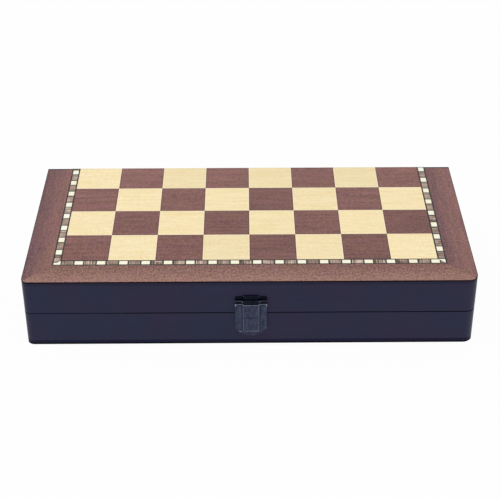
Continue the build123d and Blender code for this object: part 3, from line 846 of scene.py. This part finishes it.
@dataclass
class Tray:
    """Rails, panel and lining of one half.

    Attributes:
        half: The half.
        rim_mm: Width of the rounding on the rims.
        foot_mm: Edges nearer than this to the foot stay square.
        outward_mm: How far out, along its normal, a face on the case's outside lies at least.
        eased: The least and the most that a rounded edge's normal has along Z.
        seam_mm: Height of the dark glue line and painted shade along the seam next to the border veneer.
        fade_mm: Where the painted shade in the front's parting line starts to thin out, and where it ends.
        nap_mm: How far the felt's nap rises and falls.
        wave_mm: Sizes of the nap's wide and narrow waves.
        grid: How many faces the nap has along X and Y.
    """

    half: Half
    rim_mm: float = 0.2
    foot_mm: float = 0.1
    outward_mm: float = 1.0
    eased: tuple[float, float] = (0.3, 0.99)
    seam_mm: float = 1.2
    fade_mm: tuple[float, float] = (-106.0, -124.0)
    nap_mm: float = 0.15
    wave_mm: tuple[float, float] = (14.0, 5.0)
    grid: tuple[int, int] = (120, 56)

    def build(self) -> None:
        """Builds the lacquered case and its felt."""
        for place in ("front", "back", "left", "right"):
            self.build_rail(place)
        self.build_panel()
        self.build_felt()

    def build_panel(self) -> None:
        """Builds the playing panel, with a glue line and painted shade in the seam next to its veneer."""
        node = f"{self.half.value}_panel"
        low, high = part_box(node)
        seam = low.z + self.seam_mm * MM if self.half is Half.BASE else high.z - self.seam_mm * MM
        shape = merged_copy(node)
        sand_corners(shape, self.half)
        cut_across(shape, Axis.Z, (seam,))
        for face in shape.faces:
            past = face.calc_center_median().z - seam
            outer = past < 0 if self.half is Half.BASE else past > 0
            face.material_index = 1 if outer and abs(face.normal.z) < LEVEL else 0
        # The edge's lacquer is a darker copy, painted shade: under the top on the lid, at the floor on the
        # base.
        coats = (PAINTED_SHADE_BASE_LACQUER if self.half is Half.BASE else PAINTED_SHADE_LID_LACQUER, DUST_AND_SHADE_LACQUER)
        add_piece(shape, f"{node}_lacquered", coats, self.half.value, [node])

    def build_rail(self, place: str) -> None:
        """Builds one rail with a soft rim.

        Args:
            place: The side of the case that it closes.
        """
        node = f"{self.half.value}_{place}_rail"
        shape = merged_copy(node)
        sand_corners(shape, self.half)
        low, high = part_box(node)
        foot = low.z if self.half is Half.BASE else high.z

        def soft(edge: BMEdge) -> bool:
            """Takes edges of the rim, and leaves the mitres and the foot square."""
            mitred = all(self.on_mitre(vert.co) for vert in edge.verts)
            footed = any(abs(vert.co.z - foot) < self.foot_mm * MM for vert in edge.verts)
            return not mitred and not footed

        def used(face: BMFace) -> WearAndLight:
            """Marks the rounding: painted shade in the outer seam, and rubbed paler inside, partly as a
            painted highlight.
            """
            spot = face.calc_center_median()
            out = max(face.normal.x * spot.x, face.normal.y * spot.y)
            outward = out > self.outward_mm * MM
            # The outer bevel at the rim, which faces up on the base and is lit from above, gets the
            # painted shade too.
            eased = outward and self.eased[0] < abs(face.normal.z) < self.eased[1]
            if breadth(face) > self.rim_mm * MM and not eased:
                return WearAndLight.PLAIN
            if not outward:
                return WearAndLight.RUB_AND_HIGHLIGHT
            if place != "front" or spot.x > self.fade_mm[0] * MM:
                return WearAndLight.SHADED
            return WearAndLight.HALF_PAINTED_SHADE if spot.x > self.fade_mm[1] * MM else WearAndLight.PLAIN

        round_edges(shape, self.rim_mm, soft)
        if place == "front":
            cut_across(shape, Axis.X, [end * MM for end in self.fade_mm])
        mark_wear_and_light(shape, used)
        add_piece(shape, f"{node}_lacquered", (LACQUER,), self.half.value, [node])

    def on_mitre(self, spot: Vector) -> bool:
        """Says whether a point lies on one of the mitres.

        Args:
            spot: The point.

        Returns:
            Whether it does.
        """
        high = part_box(f"{self.half.value}_panel")[1]
        from_side = high.x - abs(spot.x)
        from_end = high.y - abs(spot.y)
        return abs(from_side - from_end) < NEAR

    def build_felt(self) -> None:
        """Lays the felt on the tray's floor, with a slightly uneven nap."""
        node = f"{self.half.value}_lining"
        low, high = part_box(node)
        size = high - low
        floor, up = (low.z, 1) if self.half is Half.BASE else (high.z, -1)
        shape = bmesh.new()
        bmesh.ops.create_grid(shape, x_segments=self.grid[0], y_segments=self.grid[1], size=0.5)
        bmesh.ops.scale(shape, vec=(size.x, size.y, 1.0), verts=shape.verts)
        grown = bmesh.ops.extrude_face_region(shape, geom=shape.faces[:])
        napped = [item for item in grown["geom"] if isinstance(item, BMVert)]
        wide, narrow = (size * MM for size in self.wave_mm)
        for vert in napped:
            waves = noise.noise(vert.co / wide) + 0.5 * noise.noise(vert.co / narrow)
            vert.co.z = up * (size.z - self.nap_mm * MM * (0.5 - 0.33 * waves))
        middle = ((low.x + high.x) / 2, (low.y + high.y) / 2, floor)
        bmesh.ops.translate(shape, vec=middle, verts=shape.verts)
        bmesh.ops.recalc_face_normals(shape, faces=shape.faces)
        piece = add_piece(shape, f"{node}_felt", (FELT,), self.half.value, [node])


def turned(outline_mm: Iterable[tuple[float, float]], steps: int = 24) -> BMesh:
    """A shape turned round the Z axis.

    Args:
        outline_mm: Its half outline as radius and height, from the axis round to the axis.
        steps: How many faces go round it.

    Returns:
        The shape.
    """
    shape = bmesh.new()
    spots = [shape.verts.new((radius * MM, 0, height * MM)) for radius, height in outline_mm]
    sides = [shape.edges.new(pair) for pair in zip(spots, spots[1:])]
    round_z = {"cent": (0, 0, 0), "axis": (0, 0, 1), "angle": 2 * pi}
    bmesh.ops.spin(shape, geom=spots + sides, steps=steps, use_merge=True, **round_z)
    bmesh.ops.remove_doubles(shape, verts=shape.verts, dist=MERGE)
    bmesh.ops.recalc_face_normals(shape, faces=shape.faces)
    return shape


def repeated(shape: BMesh, places: Iterable[Matrix]) -> BMesh:
    """Copies of one shape at several places.

    Args:
        shape: The shape, which is freed.
        places: Where each copy goes.

    Returns:
        All copies as one shape.
    """
    pattern = bpy.data.meshes.new("pattern")
    shape.to_mesh(pattern)
    shape.free()
    copies = bmesh.new()
    for place in places:
        known = set(copies.verts)
        copies.from_mesh(pattern)
        bmesh.ops.transform(copies, matrix=place, verts=[v for v in copies.verts if v not in known])
    bpy.data.meshes.remove(pattern)
    return copies


def build_pin(node: str, dome_mm: float, body: str) -> None:
    """Builds a steel pin with softly rounded ends, lying along X in its CAD node's box.

    Args:
        node: The CAD node.
        dome_mm: Radius of the rounding at its ends.
        body: The body that it rides on.
    """
    low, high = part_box(node)
    half = (high.x - low.x) / MM / 2
    flat = (high.z - low.z) / 2 / MM - dome_mm
    turns = [radians(90 * step / DOME_STEPS) for step in range(DOME_STEPS + 1)]
    upper = [(flat + dome_mm * cos(turn), half - dome_mm + dome_mm * sin(turn)) for turn in turns]
    upper.append((0.0, half))
    lower = [(radius, -height) for radius, height in reversed(upper)]
    shape = turned(lower + upper)
    place = Matrix.Translation((low + high) / 2) @ Matrix.Rotation(pi / 2, 4, "Y")
    bmesh.ops.transform(shape, matrix=place, verts=shape.verts)
    add_piece(shape, f"{node}_steel", (STEEL,), body, [node])


@dataclass
class ButtHinges:
    """The two brass hinges at the fold, with their pins and countersunk screws.

    Attributes:
        spacing_mm: From screw to screw in one leaf.
        head_mm, shank_mm, length_mm: Radius of a screw's head and of its shank, and its length.
        rim_mm: Width and height of the bevel round its head.
        point_mm: Radius and length of its blunt point, and the length of the tip.
        recess_mm: Radius, width and depth of the cross in its head.
        taper: Size of the cross's bottom, as a share of its top.
        turns: How far the crosses of a leaf's two screws are turned.
        edge_mm: Rounding of the leaves' edges.
        least_mm: Edges shorter than this stay sharp.
        dome_mm: Rounding of the pins' ends.
    """

    spacing_mm: float = 20.0
    head_mm: float = 1.85
    shank_mm: float = 0.98
    length_mm: float = 8.0
    rim_mm: tuple[float, float] = (0.12, 0.1)
    point_mm: tuple[float, float, float] = (0.2, 1.5, 0.05)
    recess_mm: tuple[float, float, float] = (1.25, 0.42, 0.55)
    taper: float = 0.62
    turns: tuple[float, float] = (0.3, 1.1)
    edge_mm: float = 0.12
    least_mm: float = 1.2
    dome_mm: float = 0.3

    def build(self) -> None:
        """Builds leaves, pins and screws of both hinges."""
        for side in ("left", "right"):
            for half in Half:
                self.build_leaf(side, half)
            build_pin(f"hinge_{side}_pin", self.dome_mm, Half.BASE.value)
        for half in Half:
            self.build_screws(half)

    def build_leaf(self, side: str, half: Half) -> None:
        """Builds one leaf with its edges eased.

        Args:
            side: The hinge's side of the case.
            half: The half that the leaf is screwed to.
        """
        node = f"hinge_{side}_{half.value}_leaf"
        shape = merged_copy(node)
        least = self.least_mm * MM
        round_edges(shape, self.edge_mm, lambda edge: edge.calc_length() > least, sharper_deg=50)
        mark_edges(shape, self.edge_mm)
        add_piece(shape, f"{node}_brass", (BRASS,), half.value, [node])

    def build_screws(self, half: Half) -> None:
        """Builds the screws of one half's leaves.

        Args:
            half: The half.
        """
        node = f"hinge_{half.value}_screws"
        low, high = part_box(node)
        top, up = (high.z, 1) if half is Half.BASE else (low.z, -1)
        rows = []
        for side in ("left", "right"):
            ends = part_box(f"hinge_{side}_{half.value}_leaf")
            middle = (ends[0].x + ends[1].x) / 2
            for step, turn in zip((-0.5, 0.5), self.turns):
                spot = Vector((middle + step * self.spacing_mm * MM, (low.y + high.y) / 2, top))
                flip = Matrix.Rotation(0 if up > 0 else pi, 4, "X")
                rows.append(Matrix.Translation(spot) @ flip @ Matrix.Rotation(turn + middle, 4, "Z"))
        shape = repeated(self.screw(), rows)
        add_piece(shape, f"{node}_brass", (SCREW_BRASS,), half.value, [node])

    def screw(self) -> BMesh:
        """Makes a countersunk screw with a cross recess, its head's top at the origin.

        Returns:
            The shape.
        """
        radius, width, depth = self.recess_mm
        rim, drop = self.rim_mm
        point, blunt, tip = self.point_mm
        outline = [
            (0.0, 0.0),
            (radius, 0.0),
            (self.head_mm - rim, 0.0),
            (self.head_mm, -drop),
            (self.shank_mm, -drop - (self.head_mm - self.shank_mm)),
            (self.shank_mm, blunt - self.length_mm),
            (point, tip - self.length_mm),
            (0.0, -self.length_mm),
        ]
        shape = turned(outline, 32)

        def inside() -> list[BMFace]:
            """Finds the faces of the head's top within the cross's circle."""
            tops = (face for face in shape.faces if face.normal.z > LEVEL)
            return [face for face in tops if face.calc_center_median().xy.length < radius * MM]

        bmesh.ops.dissolve_faces(shape, faces=inside())
        for axis in (Axis.X, Axis.Y):
            for side in (-0.5, 0.5):
                place, way = Vector(axis.value) * side * width * MM, Vector(axis.value)
                faces = inside()
                parts = dict.fromkeys(part for face in faces for part in (*face.edges, *face.verts))
                geometry = [*faces, *parts]
                bmesh.ops.bisect_plane(shape, geom=geometry, plane_co=place, plane_no=way, dist=MERGE)
        arm = 0.45 * width * MM
        cross = [face for face in inside() if min(map(abs, face.calc_center_median().xy)) < arm]
        grown = bmesh.ops.extrude_face_region(shape, geom=cross)
        bmesh.ops.delete(shape, geom=cross, context="FACES")
        sunk = [item for item in grown["geom"] if isinstance(item, BMVert)]
        bmesh.ops.translate(shape, vec=(0, 0, -depth * MM), verts=sunk)
        bmesh.ops.scale(shape, vec=(self.taper, self.taper, 1.0), verts=sunk)
        return shape


@dataclass
class SnapCatch:
    """Blackened steel snap catch on the front: plate, hinged flap, pin, keeper and nails.

    The flap is rubbed paler by fingers along its channel's edges and its outline, partly as a painted
    highlight; a painted highlight runs along its top and the knuckles' crest, and painted shade lies at
    the channel's foot, under the top line and in the dent. The plate is oil-blackened steel, near black;
    the knuckles get that same steel as painted shade.

    Attributes:
        edge_mm: Rounding of the flap's pressed and sheared edges.
        plate_edge_mm: Rounding of the plate's and the keeper's edges.
        least_mm: Edges of those shorter than this stay sharp.
        narrow_mm: Faces narrower than this belong to a rounded edge.
        dome_mm: Rounding of the pin's ends.
        knuckle_mm: From the pin's axis down to where the flap's sheet starts.
        top_line_mm: Height of the painted highlight along the sheet's top.
        end_mm: Width and height of the bright corners at the ends of that line, rubbed bright and partly
            painted highlight.
        edge_line_mm: From the flap's middle to where the rubbed line along the channel's edge, partly a
            painted
        highlight, starts and ends, and to where the painted shade at the channel's foot ends.
        wing_shade_mm: Height of the painted shade patches under the top line, beside the channel.
        channel_mm: From the pin's axis down to the channel's lower end.
        crease_mm: From the pin's axis down to the dent's middle, and half the dent's height.
        scuff_mm: Size of a scuffed stretch of the outline below the channel.
        scuff_above: Value of the noise above which the outline is scuffed.
        nail_mm: A nail's head radius, head height, shank radius, length and point length.
        nail_deg: Where the facets of its head meet, from the top.
    """

    edge_mm: float = 0.3
    plate_edge_mm: float = 0.15
    least_mm: float = 1.0
    narrow_mm: float = 0.36
    dome_mm: float = 0.2
    knuckle_mm: float = 2.1
    top_line_mm: float = 0.7
    end_mm: tuple[float, float] = (0.8, 1.8)
    edge_line_mm: tuple[float, float, float] = (6.1, 6.9, 7.9)
    wing_shade_mm: float = 1.1
    channel_mm: float = 28.2
    crease_mm: tuple[float, float] = (15.7, 0.9)
    scuff_mm: float = 0.9
    scuff_above: float = 0.3
    nail_mm: tuple[float, float, float, float, float] = (1.0, 0.6, 0.58, 7.0, 1.2)
    nail_deg: tuple[float, ...] = (22, 44, 64, 80, 90)

    def build(self) -> None:
        """Builds all parts of the catch."""
        self.build_flap()
        for node, body in (("catch_plate", "lid"), ("catch_keeper", "base")):
            self.build_sheet(node, body)
        build_pin("catch_pin", self.dome_mm, "lid")
        self.build_nails("catch_plate_nails", "lid")
        self.build_nails("catch_keeper_nails", "base")

    def build_sheet(self, node: str, body: str) -> None:
        """Builds the plate or the keeper.

        Args:
            node: The CAD node.
            body: The body that it rides on.
        """
        shape = merged_copy(node)
        least = self.least_mm * MM
        round_edges(shape, self.plate_edge_mm, lambda edge: edge.calc_length() > least)
        mark_edges(shape, self.plate_edge_mm)
        add_piece(shape, f"{node}_steel", (DEEP_BLACK_AND_SHADE,), body, [node])

    def build_flap(self) -> None:
        """Builds the flap, with its rubbed places, painted highlights and painted shade."""
        node = "catch_flap"
        low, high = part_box(node)
        pin_low, pin_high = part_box("catch_pin")
        pin, middle = (pin_low + pin_high) / 2, (low.x + high.x) / 2
        top = pin.z - self.knuckle_mm * MM
        shape = merged_copy(node)

        def sheet_edge(edge: BMEdge) -> bool:
            """Takes the edges of the sheet below the knuckles."""
            return all(vert.co.z < top - NEAR for vert in edge.verts)

        round_edges(shape, self.edge_mm, sheet_edge)
        line, corner = top - self.top_line_mm * MM, top - self.end_mm[1] * MM
        shade = line - self.wing_shade_mm * MM
        cut_across(shape, Axis.Z, (top, line, corner, shade))
        ends = (low.x + self.end_mm[0] * MM, high.x - self.end_mm[0] * MM)
        sides = [middle + side * away * MM for side in (-1, 1) for away in self.edge_line_mm]
        cut_across(shape, Axis.X, (*ends, *sides))

        def used(face: BMFace) -> WearAndLight:
            """Judges a face by where it lies."""
            spot = face.calc_center_median()
            if spot.z > top:
                # The knuckles' crest, turned up to the light, gets a painted highlight.
                lit = face.normal.z > 0.8 and face.normal.y < -0.2
                return WearAndLight.RUB_AND_HIGHLIGHT if lit else WearAndLight.PLAIN
            from_middle = abs(spot.x - middle) / MM
            below_pin = (pin.z - spot.z) / MM
            edge_start, edge_end, foot_end = self.edge_line_mm
            at_end = spot.z > corner and not ends[0] < spot.x < ends[1]
            on_edge = edge_start < from_middle < edge_end and below_pin < self.channel_mm
            # Top corners and channel edges are rubbed bright, partly painted highlight; the line along the
            # sheet's top is painted highlight.
            if at_end or (on_edge and spot.z > line):
                return WearAndLight.BRIGHT
            if on_edge or spot.z > line:
                return WearAndLight.RUB_AND_HIGHLIGHT
            # Painted shade at the channel's foot, and in patches under the top line beside the channel.
            in_foot = edge_end < from_middle < foot_end and below_pin < self.channel_mm
            if in_foot or (spot.z > shade and from_middle > foot_end):
                return WearAndLight.SHADED
            # Painted shade in the dent, on its faces that turn away from the front.
            if abs(below_pin - self.crease_mm[0]) < self.crease_mm[1] and from_middle < edge_start:
                return WearAndLight.HALF_PAINTED_SHADE if face.normal.y > -0.99 else WearAndLight.PLAIN
            if breadth(face) > self.narrow_mm * MM:
                return WearAndLight.PLAIN
            # Rounded edges are rubbed paler, partly as a painted highlight, all along the channel and in
            # scuffed stretches lower down.
            scuff = noise.noise(spot / (self.scuff_mm * MM))
            scuffed = below_pin < self.channel_mm or scuff > self.scuff_above
            return WearAndLight.RUB_AND_HIGHLIGHT if scuffed else WearAndLight.PLAIN

        mark_wear_and_light(shape, used)
        # The knuckles, above the sheet, get the near-black steel: painted shade.
        for face in shape.faces:
            face.material_index = 1 if face.calc_center_median().z > top else 0
        add_piece(shape, f"{node}_steel", (BLACKENED, DEEP_BLACK_AND_SHADE), "catch_flap", [node])

    def build_nails(self, node: str, body: str) -> None:
        """Builds the round-headed nails of one sheet.

        Args:
            node: The CAD node that holds them.
            body: The body that they ride on.
        """
        head, rise, shank, length, point = self.nail_mm
        low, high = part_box(node)
        edge = head * MM
        ends = ((low.x + edge, low.z + edge), (high.x - edge, high.z - edge))
        seat = low.y + rise * MM
        outline = [(0.0, rise)]
        outline += [(head * sin(turn), rise * cos(turn)) for turn in map(radians, self.nail_deg)]
        outline += [(shank, 0.0), (shank, point - length), (0.0, -length)]
        lying = Matrix.Rotation(pi / 2, 4, "X")
        places = [Matrix.Translation((x, seat, z)) @ lying for x, z in ends]
        shape = repeated(turned(outline), places)
        add_piece(shape, f"{node}_steel", (DEEP_BLACK_AND_SHADE,), body, [node])


@dataclass
class Studio:
    """A pale floor, soft light from all round and above, and the camera.

    Attributes:
        eye_mm: The camera's place.
        yaw_deg, pitch_deg, roll_deg: How far it looks to the right and down, and how far it is turned.
        lens_mm, sensor_mm: Its lens, and the side of its square sensor.
        sky: Strength of the light from all round.
        lamp_w, lamp_side, lamp_place: Power, side and place of the lamp above, in watts and metres.
        paper: How much light the floor sends back.
        paper_glow: Share of plain white in the floor that the camera sees; the rest keeps the shadow.
        floor_half, floor_drop_mm: Half the floor's side in metres, and how far it lies below the case.
    """

    eye_mm: tuple[float, float, float] = (-4.7, -969.35, 669.6)
    yaw_deg: float = 0.313
    pitch_deg: float = 33.272
    roll_deg: float = -0.133
    lens_mm: float = 92.57
    sensor_mm: float = 36.0
    sky: float = 0.82
    lamp_w: float = 9.0
    lamp_side: float = 1.4
    lamp_place: tuple[float, float, float] = (-0.3, -0.2, 1.5)
    paper: float = 0.82
    paper_glow: float = 0.965
    floor_half: float = 4.0
    floor_drop_mm: float = 0.1

    def build(self) -> None:
        """Builds the floor, the light and the camera."""
        self.lay_floor()
        self.light_room()
        self.hang_lamp()
        self.place_camera()
        bpy.context.scene.view_settings.view_transform = "Standard"

    def seen_share(self, tree: NodeTree) -> Node:
        """Says which rays see the plain white of the studio: those of the camera, gloss and glass.

        Args:
            tree: The node tree that needs it.

        Returns:
            The node, 1 for such rays and 0 for the light that falls on things.
        """
        ray = add_node(tree, "LightPath")
        total = ray.outputs["Is Camera Ray"]
        for name in ("Is Glossy Ray", "Is Transmission Ray"):
            both = {0: total, 1: ray.outputs[name]}
            total = add_node(tree, "Math", links=both, operation="MAXIMUM")
        return total

    def lay_floor(self) -> None:
        """Lays a wide pale floor that keeps a faint shadow."""
        shape = bmesh.new()
        bmesh.ops.create_grid(shape, x_segments=2, y_segments=2, size=self.floor_half)
        bmesh.ops.translate(shape, vec=(0, 0, -self.floor_drop_mm * MM), verts=shape.verts)
        mesh = bpy.data.meshes.new("floor")
        shape.to_mesh(mesh)
        shape.free()
        floor = bpy.data.objects.new("floor", mesh)
        bpy.context.scene.collection.objects.link(floor)
        paper = bpy.data.materials.new("pale_studio_paper")
        paper.use_nodes = True
        tree = paper.node_tree
        tree.nodes.clear()
        matt = add_node(tree, "BsdfDiffuse", {"Color": (self.paper,) * 3 + (1,)})
        glow = add_node(tree, "Emission")
        seen = self.seen_share(tree)
        share = add_node(tree, "Math", {1: self.paper_glow}, {0: seen}, operation="MULTIPLY")
        both = add_node(tree, "MixShader", links={0: share, 1: matt, 2: glow})
        add_node(tree, "OutputMaterial", links={"Surface": both})
        mesh.materials.append(paper)

    def light_room(self) -> None:
        """Lights the case evenly from all round."""
        world = bpy.data.worlds.new("white_room")
        bpy.context.scene.world = world
        world.use_nodes = True
        tree = world.node_tree
        tree.nodes.clear()
        seen = self.seen_share(tree)
        strength = add_node(tree, "MapRange", {"To Min": self.sky}, {"Value": seen})
        back = add_node(tree, "Background", links={"Strength": strength})
        add_node(tree, "OutputWorld", links={"Surface": back})

    def hang_lamp(self) -> None:
        """Hangs a large soft lamp above the case."""
        lamp = bpy.data.lights.new("soft_box", "AREA")
        lamp.shape = "SQUARE"
        lamp.size = self.lamp_side
        lamp.energy = self.lamp_w
        hung = bpy.data.objects.new("soft_box", lamp)
        hung.location = self.lamp_place
        hung.rotation_euler = (-Vector(self.lamp_place)).to_track_quat("-Z", "Y").to_euler()
        bpy.context.scene.collection.objects.link(hung)

    def place_camera(self) -> None:
        """Places the camera where the case is seen from."""
        yaw, pitch, roll = radians(self.yaw_deg), radians(self.pitch_deg), radians(self.roll_deg)
        ahead = Vector((sin(yaw) * cos(pitch), cos(yaw) * cos(pitch), -sin(pitch)))
        level = Vector((cos(yaw), -sin(yaw), 0))
        upward = level.cross(ahead)
        right = cos(roll) * level + sin(roll) * upward
        top = cos(roll) * upward - sin(roll) * level
        lens = bpy.data.cameras.new("camera")
        lens.lens = self.lens_mm
        lens.sensor_width = self.sensor_mm
        eye = bpy.data.objects.new("camera", lens)
        turn = Matrix((right, top, -ahead)).transposed().to_4x4()
        eye.matrix_world = Matrix.Translation(Vector(self.eye_mm) * MM) @ turn
        bpy.context.scene.collection.objects.link(eye)
        bpy.context.scene.camera = eye


def main() -> None:
    """Builds the case and the studio round it."""
    logging.basicConfig(level=logging.INFO, format="%(message)s")
    for half in Half:
        Tray(half).build()
        PlayingFace(half).build()
    ButtHinges().build()
    SnapCatch().build()
    Studio().build()


if __name__ == "__main__":
    main()
